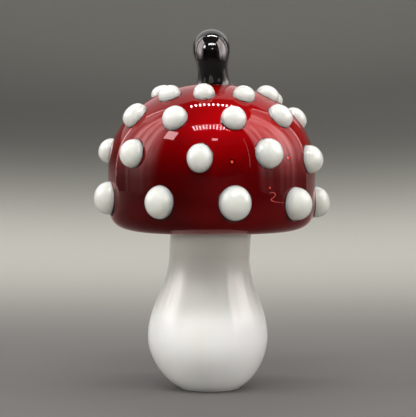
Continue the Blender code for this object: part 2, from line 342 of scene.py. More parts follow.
def side_of_cap(inset, steps):
    """The cap's side from the crown down to the turned-in lower edge, moved inwards by inset."""
    side = []
    for i in range(steps + 1):
        up = math.cos(0.5 * math.pi * i / steps)
        height = WIDEST + (CAP_HEIGHT - WIDEST - inset) * up
        side.append(
            Vector(((CAP_RADIUS - inset) * math.sqrt(max(0.0, 1 - up**DOME_FULLNESS)), SEAT + height))
        )
    down_steps = steps // 2
    for i in range(1, down_steps + 1):
        down = math.sin(0.5 * math.pi * i / down_steps)
        turn_in = (1 - down ** SKIRT_FULLNESS[0]) ** (1 / SKIRT_FULLNESS[1]) if i < down_steps else 0.0
        height = WIDEST - (WIDEST - UNDERSIDE_DISH - inset) * down
        depth = SKIRT_DEPTH - inset
        side.append(Vector((CAP_RADIUS - inset - depth + depth * turn_in, SEAT + height)))
    return side


# Cased copper ruby, struck dark, with painted light and shade in its colour: a painted glow towards the
# crown, painted shade, nearly black, lower down, a little lighter again at the foot, and more painted
# shade on the left. The clear casing and the ruby under it each give a mirror image, a white one and a
# pink one.
SWIRL = 16 * MM
SWIRL_REACH = 8 * MM  # between the lightest and the darkest swirl at one height
LEFT_SHADE_DARKEST = -14 * MM  # from here to the left
LEFT_SHADE_END = 2 * MM  # from here to the right
ruby, tree, shader, here = new_material("cased_copper_ruby_glass")
parts = add(tree, "ShaderNodeSeparateXYZ", (), {"Vector": here})
swirls = add(
    tree, "ShaderNodeTexNoise", {"Scale": 1 / SWIRL, "Detail": 2.0, "Distortion": 1.2}, {"Vector": here}
)
uneven = add(
    tree,
    "ShaderNodeMath",
    {"operation": "MULTIPLY_ADD", 1: SWIRL_REACH, 2: -SWIRL_REACH / 2},
    {0: swirls.outputs["Fac"]},
)
swirled_height = add(tree, "ShaderNodeMath", {"operation": "ADD"}, {0: parts.outputs["Z"], 1: uneven.outputs[0]})
share = add(
    tree,
    "ShaderNodeMapRange",
    {"From Min": SEAT, "From Max": SEAT + CAP_HEIGHT},
    {"Value": swirled_height.outputs[0]},
)
# painted light and shade by height: a glow towards the crown, nearly black lower down, lighter at the
# foot
painted_glow_and_shade = add(tree, "ShaderNodeValToRGB", (), {"Fac": share.outputs["Result"]})
ramp = painted_glow_and_shade.color_ramp.elements
ramp[0].position, ramp[0].color = 0.0, linear("#78000D")
ramp[1].position, ramp[1].color = 0.95, linear("#8E000E")
for position, code in (
    (0.14, "#600009"),
    (0.24, "#500007"),
    (0.38, "#5C0009"),
    (0.52, "#860010"),
    (0.70, "#AE001A"),
):
    step = ramp.new(position)
    step.color = linear(code)
# painted shade: the red is darkened towards the left
painted_left_shade = add(
    tree,
    "ShaderNodeMapRange",
    {
        "interpolation_type": "SMOOTHSTEP",
        "From Min": LEFT_SHADE_DARKEST,
        "From Max": LEFT_SHADE_END,
        "To Min": 0.58,
        "To Max": 1.0,
    },
    {"Value": parts.outputs["X"]},
)
red = add(
    tree,
    "ShaderNodeVectorMath",
    {"operation": "SCALE"},
    {0: painted_glow_and_shade.outputs["Color"], "Scale": painted_left_shade.outputs["Result"]},
).outputs[0]

# Seeds: gas bubbles under the skin, by place and radius in mm. Each is a bright dot of painted light
# in a ring of painted shade.
SEEDS = ((6.0, -35.2, 79.0, 0.5), (24.7, -25.2, 80.3, 0.6), (18.5, -30.7, 70.5, 0.4))
for seed_place in SEEDS:
    x, y, z, radius = (v * MM for v in seed_place)
    away = add(tree, "ShaderNodeVectorMath", {"operation": "DISTANCE", 1: (x, y, z)}, {0: here})
    apart = add(
        tree, "ShaderNodeMath", {"operation": "DIVIDE", 1: 3 * radius}, {0: away.outputs["Value"]}
    )
    seed_light_and_shade = add(tree, "ShaderNodeValToRGB", (), {"Fac": apart.outputs[0]})
    for position, code in ((0.0, "#FFB48C"), (0.28, "#FF9C70"), (0.36, "#2A0003"), (0.5, "#2A0003")):
        stop = seed_light_and_shade.color_ramp.elements.new(position) if position else seed_light_and_shade.color_ramp.elements[0]
        stop.color = linear(code)
    seed_light_and_shade.color_ramp.elements[-1].position, seed_light_and_shade.color_ramp.elements[-1].color = 0.62, linear("#2A0003")
    fade = add(
        tree,
        "ShaderNodeMapRange",
        {"From Min": 1.5 * radius, "From Max": 2.3 * radius},
        {"Value": away.outputs["Value"]},
    )
    red = add(
        tree,
        "ShaderNodeMix",
        {"data_type": "RGBA"},
        {0: fade.outputs["Result"], 6: seed_light_and_shade.outputs["Color"], 7: red},
    ).outputs[2]

# A stray thread of white glass is caught in the front of the skirt, by x and z in mm
THREAD_BACK = -20 * MM  # behind which there is none
thread = bezier((18.6, 68.9), (21.0, 69.3), (20.6, 67.6), (19.2, 67.0), 12)
thread += bezier((19.2, 67.0), (18.2, 66.3), (20.0, 65.8), (23.0, 65.5), 14)[1:]
across = add(tree, "ShaderNodeVectorMath", {"operation": "MULTIPLY", 1: (1, 0, 1)}, {0: here})
nearest = None
for x, z in thread:
    away = add(
        tree,
        "ShaderNodeVectorMath",
        {"operation": "DISTANCE", 1: (x * MM, 0, z * MM)},
        {0: across.outputs[0]},
    )
    if nearest:
        away = add(
            tree, "ShaderNodeMath", {"operation": "MINIMUM"}, {0: away.outputs["Value"], 1: nearest}
        )
    nearest = away.outputs["Value"]
behind = add(
    tree,
    "ShaderNodeMapRange",
    {"From Min": THREAD_BACK, "From Max": THREAD_BACK + 2 * MM},
    {"Value": parts.outputs["Y"]},
)
away = add(tree, "ShaderNodeMath", {"operation": "ADD"}, {0: nearest, 1: behind.outputs["Result"]})
fade = add(
    tree,
    "ShaderNodeMapRange",
    {"From Min": 0.05 * MM, "From Max": 0.21 * MM},
    {"Value": away.outputs[0]},
)
red = add(
    tree,
    "ShaderNodeMix",
    {"data_type": "RGBA", 6: linear("#F4D0C8")},
    {0: fade.outputs["Result"], 7: red},
).outputs[2]
tree.links.new(red, shader.inputs["Base Color"])
shader.inputs["Roughness"].default_value = 0.02
shader.inputs["IOR"].default_value = 1.32
shader.inputs["Coat Weight"].default_value = 1.0
shader.inputs["Coat Roughness"].default_value = 0.01
shader.inputs["Coat IOR"].default_value = 1.25
shader.inputs["Coat Tint"].default_value = linear("#F27C80")

# Cords: ridges too faint to feel, drawn out down the side as the bubble was blown
CORD = 5 * MM
flat = add(tree, "ShaderNodeVectorMath", {"operation": "MULTIPLY", 1: (1, 1, 0)}, {0: here})
way = add(tree, "ShaderNodeVectorMath", {"operation": "NORMALIZE"}, {0: flat.outputs[0]})
around = add(
    tree, "ShaderNodeVectorMath", {"operation": "SCALE", "Scale": CAP_RADIUS}, {0: way.outputs[0]}
)
along = add(tree, "ShaderNodeVectorMath", {"operation": "MULTIPLY", 1: (0, 0, 0.2)}, {0: here})
drawn = add(
    tree, "ShaderNodeVectorMath", {"operation": "ADD"}, {0: around.outputs[0], 1: along.outputs[0]}
)
cords = add(tree, "ShaderNodeTexNoise", {"Scale": 1 / CORD, "Detail": 1.0}, {"Vector": drawn.outputs[0]})
skin = add(
    tree, "ShaderNodeBump", {"Strength": 0.1, "Distance": 0.15 * MM}, {"Height": cords.outputs["Fac"]}
)
tree.links.new(skin.outputs["Normal"], shader.inputs["Normal"])
tree.links.new(skin.outputs["Normal"], shader.inputs["Coat Normal"])

bore = NECK_RADIUS - STEM_WALL
outer = side_of_cap(0, 130)
rim = outer[-1]
outer += bezier(rim, (rim.x - 4 * MM, rim.y), (NECK_RADIUS + 3 * MM, SEAT), (NECK_RADIUS, SEAT), 16)[1:]
mouth = [Vector((bore, SEAT)), Vector((bore, SEAT + CAP_WALL)), Vector((NECK_RADIUS, SEAT + CAP_WALL))]
inner = side_of_cap(CAP_WALL, 40)[::-1]
cap = made_by(
    turning,
    "ruby_cap",
    half_outline("cap_outline", outer + mouth + inner),
    {"Steps round": 260, "Wave height": 0.3 * MM, "Wave length": 26 * MM, "Glass": ruby},
)
cap.data.transform(Matrix.Translation(cap_axis))
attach(cap, "root")
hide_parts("cap")

# Dots: gobs of the same opal glass, touched on to the hot cap in four rings and left standing proud.
# Each pulls itself round, is pinched a little where it grips the cap and sags downhill as it sets.

DOT_WAIST = 0.12  # height of a dot's widest ring, as a share of its rise
DOT_GRIP = 1.12  # width of the ruby fillet that the cap's glass draws up round it, over its widest
DOT_SINK = 0.08  # how far it goes into the cap, as a share of its rise
DOT_SAG = 0.06  # how far its top slides downhill, as a share of half its width
DOT_FULLNESS = 0.95  # 1 is round, less is fuller
DOT_LUMP = 7 * MM  # size of the lumps in its top
DOT_RUN = 3 * MM  # size of the waves in its foot
DOT_UNEVENNESS = 0.5 * MM
DOT_STEPS = 18  # of its outline from the top to the widest ring
BEND_REACH = 8  # points of the cap's side, up and down, over which its bend is taken

dot_names = sorted(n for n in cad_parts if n.startswith("dot_"))
cap_side = side_of_cap(0, 600)  # in steps of about 0.1 mm, to seat the dots by


def seat_of_dot(name):
    """A dot's place, the way out, the way uphill, its half sizes and the cap's bend there."""
    points = [v.co - cap_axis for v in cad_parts[name].data.vertices]
    middle = sum(points, Vector()) / len(points)
    for _ in range(3):
        bearing = math.atan2(middle.x, -middle.y)
        across = math.hypot(middle.x, middle.y)
        inside = range(BEND_REACH + 1, len(cap_side) - BEND_REACH - 1)
        at = min(inside, key=lambda i: (cap_side[i] - Vector((across, middle.z))).length)
        above, below = cap_side[at - 1] - cap_side[at], cap_side[at] - cap_side[at + 1]
        along = (above + below).normalized()
        out = Vector((along[1] * math.sin(bearing), -along[1] * math.cos(bearing), -along[0]))
        sideways = Vector((math.cos(bearing), math.sin(bearing), 0))
        uphill = out.cross(sideways)
        radius, height = cap_side[at]
        seat = Vector((radius * math.sin(bearing), -radius * math.cos(bearing), height))
        spans = [[(p - seat).dot(way) for p in points] for way in (sideways, uphill, out)]
        middle = seat + sum(
            (way * (min(span) + max(span)) / 2 for way, span in zip((sideways, uphill), spans)), Vector()
        )
    size = Vector([(max(span) - min(span)) / 2 for span in spans[:2]] + [max(spans[2])])
    above, below = cap_side[at - BEND_REACH] - cap_side[at], cap_side[at] - cap_side[at + BEND_REACH]
    bend = Vector((along[1] / radius, 2 * above.angle(below) / (above.length + below.length), 0)) / 2
    return seat + cap_axis, out, uphill, size, bend


seats = [seat_of_dot(name) for name in dot_names]
seat_mesh = bpy.data.meshes.new("dot_seats")
seat_mesh.from_pydata([s[0] for s in seats], [], [])
for column, title in enumerate(("out", "uphill", "size", "bend"), 1):
    attribute = seat_mesh.attributes.new(title, "FLOAT_VECTOR", "POINT")
    for i, seat in enumerate(seats):
        attribute.data[i].vector = seat[column]

quarter = [0.5 * math.pi * i / DOT_STEPS for i in range(DOT_STEPS + 1)]
dot_outline = [
    Vector((math.sin(a) ** DOT_FULLNESS, DOT_WAIST + (1 - DOT_WAIST) * math.cos(a))) for a in quarter
]
dot_outline += bezier((1, DOT_WAIST), (1, 0.35 * DOT_WAIST), (1.03, -0.01), (DOT_GRIP, -0.04), 8)[1:]
dot_outline += [Vector((share * DOT_GRIP, -DOT_SINK)) for share in (1, 0.5, 0)]

# Dotting: the unit dot is set on every seat, then its foot is bent to the cap and its top left uneven
dotting, sizes, result = new_tree(
    "dotting", {"Dot": "Object", "Sag": "Float", "Unevenness": "Float", "Glass": "Material"}
)
blob = add(dotting, "GeometryNodeObjectInfo", (), {"Object": sizes["Dot"]})
place = add(dotting, "GeometryNodeInputPosition")
parts = add(dotting, "ShaderNodeSeparateXYZ", (), {"Vector": place.outputs[0]})
square = add(
    dotting, "ShaderNodeMath", {"operation": "MULTIPLY"}, {0: parts.outputs["Z"], 1: parts.outputs["Z"]}
)
slide = add(
    dotting, "ShaderNodeMath", {"operation": "MULTIPLY"}, {0: square.outputs[0], 1: sizes["Sag"]}
)
down = add(dotting, "ShaderNodeMath", {"operation": "MULTIPLY", 1: -1.0}, {0: slide.outputs[0]})
downhill = add(dotting, "ShaderNodeCombineXYZ", (), {"Y": down.outputs[0]})
measured = add(
    dotting,
    "GeometryNodeStoreNamedAttribute",
    {"data_type": "FLOAT_VECTOR", "domain": "POINT", "Name": "on_seat"},
    {"Geometry": blob.outputs["Geometry"], "Value": place.outputs[0]},
)
sagged = add(
    dotting,
    "GeometryNodeSetPosition",
    (),
    {"Geometry": measured.outputs[0], "Offset": downhill.outputs[0]},
)
read = [
    add(dotting, "GeometryNodeInputNamedAttribute", {"data_type": "FLOAT_VECTOR", "Name": title})
    for title in ("out", "uphill", "size", "bend", "on_seat")
]
out, uphill, size, bend, on_seat = (attribute.outputs["Attribute"] for attribute in read)
turn = add(
    dotting,
    "FunctionNodeAxesToRotation",
    {"primary_axis": "Z", "secondary_axis": "Y"},
    {"Primary Axis": out, "Secondary Axis": uphill},
)
set_on = add(
    dotting,
    "GeometryNodeInstanceOnPoints",
    (),
    {
        "Points": sizes["Geometry"],
        "Instance": sagged.outputs[0],
        "Rotation": turn.outputs[0],
        "Scale": size,
    },
)
real = add(dotting, "GeometryNodeRealizeInstances", (), {"Geometry": set_on.outputs[0]})
away = add(dotting, "ShaderNodeVectorMath", {"operation": "MULTIPLY"}, {0: on_seat, 1: size})
squares = add(
    dotting, "ShaderNodeVectorMath", {"operation": "MULTIPLY"}, {0: away.outputs[0], 1: away.outputs[0]}
)
drop = add(
    dotting, "ShaderNodeVectorMath", {"operation": "DOT_PRODUCT"}, {0: squares.outputs[0], 1: bend}
)
level = add(dotting, "ShaderNodeSeparateXYZ", (), {"Vector": on_seat})
free = add(
    dotting,
    "ShaderNodeMapRange",
    {"interpolation_type": "SMOOTHSTEP", "From Min": 0.1, "From Max": 0.8, "To Min": 0.0, "To Max": 1.0},
    {"Value": level.outputs["Z"]},
)
held = add(dotting, "ShaderNodeMath", {"operation": "SUBTRACT", 1: 1.0}, {0: free.outputs["Result"]})
lean = add(
    dotting, "ShaderNodeMath", {"operation": "MULTIPLY"}, {0: held.outputs[0], 1: drop.outputs["Value"]}
)
bow = add(dotting, "ShaderNodeVectorMath", {"operation": "SCALE"}, {0: out, "Scale": lean.outputs[0]})
fitted = add(
    dotting, "GeometryNodeSetPosition", (), {"Geometry": real.outputs[0], "Offset": bow.outputs[0]}
)
lumps = add(
    dotting, "ShaderNodeTexNoise", {"Scale": 1 / DOT_LUMP, "Detail": 0.0}, {"Vector": place.outputs[0]}
)
ways = add(
    dotting,
    "ShaderNodeVectorMath",
    {"operation": "SUBTRACT", 1: (0.5, 0.5, 0.5)},
    {0: lumps.outputs["Color"]},
)
reach = add(
    dotting,
    "ShaderNodeMath",
    {"operation": "MULTIPLY"},
    {0: free.outputs["Result"], 1: sizes["Unevenness"]},
)
push = add(
    dotting,
    "ShaderNodeVectorMath",
    {"operation": "SCALE"},
    {0: ways.outputs[0], "Scale": reach.outputs[0]},
)
uneven = add(
    dotting, "GeometryNodeSetPosition", (), {"Geometry": fitted.outputs[0], "Offset": push.outputs[0]}
)
foot = add(
    dotting,
    "ShaderNodeMapRange",
    {"interpolation_type": "SMOOTHSTEP", "From Max": 0.15, "To Min": 1.0, "To Max": 0.0},
    {"Value": level.outputs["Z"]},
)
runs = add(
    dotting, "ShaderNodeTexNoise", {"Scale": 1 / DOT_RUN, "Detail": 0.0}, {"Vector": place.outputs[0]}
)
middle = add(dotting, "ShaderNodeMath", {"operation": "SUBTRACT", 1: 0.5}, {0: runs.outputs["Fac"]})
bite = add(
    dotting,
    "ShaderNodeMath",
    {"operation": "MULTIPLY"},
    {0: foot.outputs["Result"], 1: middle.outputs[0]},
)
lift = add(
    dotting, "ShaderNodeMath", {"operation": "MULTIPLY"}, {0: bite.outputs[0], 1: sizes["Unevenness"]}
)
wander = add(dotting, "ShaderNodeVectorMath", {"operation": "SCALE"}, {0: out, "Scale": lift.outputs[0]})
uneven = add(
    dotting, "GeometryNodeSetPosition", (), {"Geometry": uneven.outputs[0], "Offset": wander.outputs[0]}
)
smooth = add(dotting, "GeometryNodeSetShadeSmooth", (), {"Geometry": uneven.outputs[0]})
glazed = add(
    dotting, "GeometryNodeSetMaterial", (), {"Geometry": smooth.outputs[0], "Material": sizes["Glass"]}
)
dotting.links.new(glazed.outputs[0], result)

# The dots are of the same opal, but small and solid: light goes right through them, so that their
# lower sides stay pale. They are cloudy and show no wisps. A ruby fillet runs round each foot, painted
# darker than the cap's ruby as a painted contact shadow all round it.
CLOUD = 3 * MM
dot_glass, tree, shader, here = new_material("opal_white_dot_glass")
cloud = add(tree, "ShaderNodeTexNoise", {"Scale": 1 / CLOUD, "Detail": 2.0}, {"Vector": here})
whites = add(tree, "ShaderNodeValToRGB", (), {"Fac": cloud.outputs["Fac"]})
whites.color_ramp.elements[0].position, whites.color_ramp.elements[0].color = 0.3, linear("#E3E0D0")
whites.color_ramp.elements[1].position, whites.color_ramp.elements[1].color = 0.7, linear("#EAE7D8")
on_seat = add(tree, "ShaderNodeAttribute", {"attribute_name": "on_seat"})
level = add(tree, "ShaderNodeSeparateXYZ", (), {"Vector": on_seat.outputs["Vector"]})
# the foot's ruby fillet, darkened as painted contact shade
over_fillet = add(
    tree,
    "ShaderNodeMapRange",
    {"From Min": 0.03, "From Max": 0.06, "To Min": 0.0, "To Max": 1.0},
    {"Value": level.outputs["Z"]},
)
fillet_and_contact_shade = add(
    tree,
    "ShaderNodeMix",
    {"data_type": "RGBA", 6: linear("#46030A")},
    {0: over_fillet.outputs["Result"], 7: whites.outputs["Color"]},
)
tree.links.new(fillet_and_contact_shade.outputs[2], shader.inputs["Base Color"])

# Fine rings stay in a dot from turning the hot rod as it was dropped
RINGS = 5
turns = add(
    tree, "ShaderNodeMath", {"operation": "MULTIPLY", 1: math.tau * RINGS}, {0: level.outputs["Z"]}
)
rings = add(tree, "ShaderNodeMath", {"operation": "SINE"}, {0: turns.outputs[0]})
skin = add(
    tree, "ShaderNodeBump", {"Strength": 0.3, "Distance": 0.04 * MM}, {"Height": rings.outputs[0]}
)
tree.links.new(skin.outputs["Normal"], shader.inputs["Normal"])
shader.inputs["Roughness"].default_value = 0.02
shader.inputs["IOR"].default_value = 1.5
shader.inputs["Subsurface Weight"].default_value = 1.0
shader.inputs["Subsurface Radius"].default_value = (1.0, 0.9, 0.8)
shader.inputs["Subsurface Scale"].default_value = 16.0 * MM

# One dot of unit size is turned first, then set on every seat
unit_dot = made_by(
    turning,
    "unit_dot",
    half_outline("dot_outline", dot_outline),
    {"Steps round": 64, "Wave height": 0.0, "Wave length": 1.0, "Glass": dot_glass},
)
dots = made_by(
    dotting,
    "opal_dots",
    seat_mesh,
    {"Dot": unit_dot, "Sag": DOT_SAG, "Unevenness": DOT_UNEVENNESS, "Glass": dot_glass},
)
bpy.data.objects.remove(unit_dot)
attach(dots, "root")
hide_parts(*dot_names)

# Hanging loop: black glass, a gather dropped on the crown, drawn up to a rod, and bent back down on
# itself. Its foot spreads where the hot glass grips the cap.

LOOP_HEIGHT = 18.7 * MM  # from the cap's crown to the top of the loop
LOOP_WIDTH = 12.9 * MM  # of the bow, across the loop's plane
LOOP_ROUND = 6.2 * MM  # from the middle of the rod to its outer face
LOOP_INNER = 2.4 * MM  # from the middle of the rod to the flattened face in the eye
EYE_RADIUS = 3.6 * MM
LOOP_WAIST = 0.79  # thickness of the legs over that of the bow
WAIST_HEIGHT = 3.6 * MM
LEG_PINCH = 0.23  # how much nearer together the legs are pressed at the foot
PINCH_HEIGHT = 2.9 * MM
LOOP_FLARE = 0.30  # added to the thickness where the legs meet the cap
FLARE_HEIGHT = 1.2 * MM
LOOP_ROOT = 1.5 * MM  # how far the legs run on under the crown
SETTLE_HEIGHT = 4.0 * MM  # up to which the legs lean to the crown's curve
PAD_WIDTH = 13.0 * MM
PAD_DEPTH = 22.0 * MM
PAD_RISE = 1.4 * MM
LOOP_SHIFT = 0.6 * MM  # from the crown towards the right
LOOP_LEAN = math.radians(-3.2)
WELD_GRID = 0.28 * MM  # of the mesh that welds legs and pad into one skin
LEG_STEPS, ARCH_STEPS, PAD_STEPS = 28, 48, 40

# Black glass: manganese and cobalt so strong that no light comes through. Trails a little browner than
# the rest were drawn up with it, and its fire-polished skin mirrors everything round it.
TRAIL = 3 * MM
black, tree, shader, here = new_material("black_drawn_glass")
drawn = add(tree, "ShaderNodeMapping", {"Scale": (1, 1, 0.3)}, {"Vector": here})
trails = add(
    tree, "ShaderNodeTexNoise", {"Scale": 1 / TRAIL, "Detail": 2.0}, {"Vector": drawn.outputs[0]}
)
blacks = add(tree, "ShaderNodeValToRGB", (), {"Fac": trails.outputs["Fac"]})
blacks.color_ramp.elements[0].position, blacks.color_ramp.elements[0].color = 0.35, linear("#030202")
blacks.color_ramp.elements[1].position, blacks.color_ramp.elements[1].color = 0.75, linear("#100808")
tree.links.new(blacks.outputs["Color"], shader.inputs["Base Color"])
shader.inputs["Roughness"].default_value = 0.03
shader.inputs["IOR"].default_value = 1.56

# Looping: the rod's section follows the bent middle line, and the pad is laid under its feet
looping, sizes, result = new_tree("looping", {"Section": "Object", "Pad": "Object", "Glass": "Material"})
section = add(looping, "GeometryNodeObjectInfo", (), {"Object": sizes["Section"]})
pad = add(looping, "GeometryNodeObjectInfo", (), {"Object": sizes["Pad"]})
thickness = add(looping, "GeometryNodeInputRadius")
bent = add(
    looping,
    "GeometryNodeCurveToMesh",
    {"Fill Caps": True},
    {
        "Curve": sizes["Geometry"],
        "Profile Curve": section.outputs["Geometry"],
        "Scale": thickness.outputs[0],
    },
)
both = add(looping, "GeometryNodeJoinGeometry")
looping.links.new(pad.outputs["Geometry"], both.inputs[0])
looping.links.new(bent.outputs[0], both.inputs[0])
real = add(looping, "GeometryNodeRealizeInstances", (), {"Geometry": both.outputs[0]})
glazed = add(
    looping, "GeometryNodeSetMaterial", (), {"Geometry": real.outputs[0], "Material": sizes["Glass"]}
)
looping.links.new(glazed.outputs[0], result)

SECTION_STEPS = 64
section_curve = bpy.data.curves.new("loop_section", "CURVE")
section_curve.dimensions = "3D"
ring = section_curve.splines.new("POLY")
ring.points.add(SECTION_STEPS - 1)
for i, point in enumerate(ring.points):
    angle = math.tau * i / SECTION_STEPS
    reach = LOOP_ROUND if math.cos(angle) < 0 else LOOP_INNER
    point.co = (LOOP_WIDTH / 2 * math.sin(angle), reach * math.cos(angle), 0, 1)
ring.use_cyclic_u = True
section_object = bpy.data.objects.new("loop_section", section_curve)
bpy.context.scene.collection.objects.link(section_object)

bow = EYE_RADIUS + LOOP_INNER
rod_middle = LOOP_HEIGHT - LOOP_ROUND - bow


def loop_thickness(height):
    """The rod is thickest in the bow, drawn thin below it, and flares out on to the cap."""
    up = min(1.0, max(0.0, (height - WAIST_HEIGHT) / (rod_middle + bow - WAIST_HEIGHT)))
    flare = LOOP_FLARE * math.exp(-max(0.0, height + 0.5 * MM) / FLARE_HEIGHT)
    return LOOP_WAIST + (1 - LOOP_WAIST) * up * up * (3 - 2 * up) + flare


def crown_drop(across):
    """How far the cap has fallen from its crown, that far from the axis."""
    return (CAP_HEIGHT - WIDEST) * (1 - (1 - (across / CAP_RADIUS) ** 2) ** (1 / DOME_FULLNESS))


leg = [(-bow, -LOOP_ROOT + (rod_middle + LOOP_ROOT) * i / LEG_STEPS) for i in range(LEG_STEPS)]
half_turn = [math.pi * i / ARCH_STEPS for i in range(ARCH_STEPS + 1)]
arch = [(-bow * math.cos(a), rod_middle + bow * math.sin(a)) for a in half_turn]
path = leg + arch + [(-y, z) for y, z in leg[::-1]]
loop_path = bpy.data.curves.new("loop_path", "CURVE")
loop_path.dimensions = "3D"
line = loop_path.splines.new("POLY")
line.points.add(len(path) - 1)
for point, (y, z) in zip(line.points, path):
    point.co = (0, y, z, 1)
    point.radius = loop_thickness(z)

pad_turn = [math.pi * i / PAD_STEPS for i in range(PAD_STEPS + 1)]
pad_points = [Vector((math.sin(a), math.cos(a))) for a in pad_turn]
loop_pad = made_by(
    turning,
    "loop_pad",
    half_outline("pad_outline", pad_points),
    {"Steps round": 72, "Wave height": 0.0, "Wave length": 1.0, "Glass": black},
)
for vertex in loop_pad.data.vertices:
    x, y, z = vertex.co
    vertex.co = (x * PAD_WIDTH / 2, y * PAD_DEPTH / 2, PAD_RISE * (max(0, z) ** 2.4 + min(0, z)))

loop = made_by(
    looping, "black_loop", loop_path, {"Section": section_object, "Pad": loop_pad, "Glass": black}
)
bpy.data.objects.remove(section_object)
bpy.data.objects.remove(loop_pad)

# The soft foot is nipped together from front and back, and settles to the curve of the crown
for vertex in loop.data.vertices:
    x, y, z = vertex.co
    y *= 1 - LEG_PINCH * math.exp(-max(0.0, z) / PINCH_HEIGHT)
    share = 1 - min(1.0, max(0.0, z / SETTLE_HEIGHT))
    vertex.co.y = y
    vertex.co.z = z - share * share * (3 - 2 * share) * crown_drop(math.hypot(x, y))

weld = loop.modifiers.new("weld", "REMESH")
weld.mode = "VOXEL"
weld.voxel_size = WELD_GRID
weld.use_smooth_shade = True
flow = loop.modifiers.new("flow", "SMOOTH")
flow.factor, flow.iterations = 0.5, 14
graph = bpy.context.evaluated_depsgraph_get()
loop.data = bpy.data.meshes.new_from_object(loop.evaluated_get(graph))
loop.modifiers.clear()
loop.data.name = "black_loop"
loop.data.materials.clear()
loop.data.materials.append(black)
loop.data.polygons.foreach_set("material_index", [0] * len(loop.data.polygons))
crown = Vector((cap_axis.x + LOOP_SHIFT, cap_axis.y, cap_high.z))
loop.data.transform(Matrix.Translation(crown) @ Matrix.Rotation(LOOP_LEAN, 4, "Y"))
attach(loop, "root")
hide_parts("hanging_loop")

# Studio: a paper sweep that rises all round, with soft lamps above, in front and on both sides. Small
# lamps in two strips, and the seams, window, rail and walls of a light tent, sparkle in the glass.

# Paper: matt and faintly fibrous, with painted light and shade in its colour: a painted pool of light
# where it rises behind the ornament, and painted shade, grey, elsewhere, darkest in front
FIBRE = 2 * MM  # coarser than real ones, so that they show
SWEEP_SPAN = (-0.9, 1.5)  # of y + z, between which the tones run from front to back
paper, tree, shader, here = new_material("pale_paper_sweep")
fibres = add(tree, "ShaderNodeTexNoise", {"Scale": 1 / FIBRE, "Detail": 2.0}, {"Vector": here})
greys = add(tree, "ShaderNodeValToRGB", (), {"Fac": fibres.outputs["Fac"]})
greys.color_ramp.elements[0].color = linear("#F4F3F1")
greys.color_ramp.elements[1].color = linear("#FFFEFC")
parts = add(tree, "ShaderNodeSeparateXYZ", (), {"Vector": here})
back = add(tree, "ShaderNodeMath", {"operation": "ADD"}, {0: parts.outputs["Y"], 1: parts.outputs["Z"]})
depth = add(
    tree,
    "ShaderNodeMapRange",
    {"From Min": SWEEP_SPAN[0], "From Max": SWEEP_SPAN[1]},
    {"Value": back.outputs[0]},
)
# painted light and shade: a pale pool of light behind the ornament, grey and darkest in front
painted_light_tones = add(tree, "ShaderNodeValToRGB", (), {"Fac": depth.outputs["Result"]})
painted_light_tones.color_ramp.interpolation = "EASE"
painted_light_tones.color_ramp.elements[0].position, painted_light_tones.color_ramp.elements[0].color = 0.15, linear("#484746")
painted_light_tones.color_ramp.elements[1].position, painted_light_tones.color_ramp.elements[1].color = 1.0, linear("#B5B4AE")
for position, code in ((0.4, "#5E5D5B"), (0.64, "#DDDBD2"), (0.82, "#888883")):
    stop = painted_light_tones.color_ramp.elements.new(position)
    stop.color = linear(code)
grain = add(
    tree,
    "ShaderNodeMix",
    {"data_type": "RGBA", "blend_type": "MULTIPLY", 0: 1.0},
    {6: painted_light_tones.outputs["Color"], 7: greys.outputs["Color"]},
)
tree.links.new(grain.outputs[2], shader.inputs["Base Color"])
shader.inputs["Roughness"].default_value = 0.9

sweep_points = [Vector((0, 0)), Vector((0.2, 0))]
sweep_points += bezier((0.4, 0), (1.0, 0), (1.5, 0.25), (1.5, 1.0), 40)
sweep = made_by(
    turning,
    "sweep",
    half_outline("sweep_outline", sweep_points),
    {"Steps round": 128, "Wave height": 0.0, "Wave length": 1.0, "Glass": paper},
)

TARGET = Vector((0, 0, 0.065))


def lamp_facing_down(name, place, width, height, power):
    """A rectangular lamp that the camera doesn't see."""
    light = bpy.data.lights.new(name, "AREA")
    light.shape = "RECTANGLE"
    light.size, light.size_y, light.energy = width, height, power
    lamp = bpy.data.objects.new(name, light)
    bpy.context.scene.collection.objects.link(lamp)
    lamp.location = place
    lamp.visible_camera = False
    return lamp


def lamp_facing_ornament(name, azimuth, elevation, distance, width, height, power):
    """The same, by its direction from the ornament. Azimuth 0 is the camera's side, 90 the right."""
    a, e = math.radians(azimuth), math.radians(elevation)
    way = Vector((math.sin(a) * math.cos(e), -math.cos(a) * math.cos(e), math.sin(e)))
    lamp = lamp_facing_down(name, TARGET + distance * way, width, height, power)
    lamp.rotation_euler = (-way).to_track_quat("-Z", "Y").to_euler()
    return lamp


# Soft lamps that light the glass and the paper but aren't mirrored in them, by azimuth, elevation,
# width, height and power
SOFT_DISTANCE = 0.85
for name, azimuth, elevation, width, height, power in (
    ("key", 12, 56, 0.9, 0.6, 1.95),
    ("fill", 4, 2, 0.9, 0.18, 3.1),
    ("left_fill", -82, 6, 0.6, 0.3, 3.0),
    ("right_fill", 82, 6, 0.6, 0.3, 2.7),
):
    soft = lamp_facing_ornament(name, azimuth, elevation, SOFT_DISTANCE, width, height, power)
    soft.visible_glossy = False

# Two strips of small lamps overhead: their count, first place, spacing, place in depth and length
CEILING = 0.5  # over the middle of the ornament
LAMP_WIDTH = 0.009
LAMP_BRIGHTNESS = 60.0
for strip, count, left, pitch, depth, length in (
    ("front", 12, -0.165, 0.0305, -0.29, 0.085),
    ("back", 12, -0.112, 0.0245, 0.092, 0.04),
):
    for i in range(count):
        place = TARGET + Vector((left + pitch * i, depth, CEILING))
        power = LAMP_BRIGHTNESS * math.pi * LAMP_WIDTH * length
        lamp_facing_down(f"{strip}_lamp_{i + 1}", place, LAMP_WIDTH, length, power)

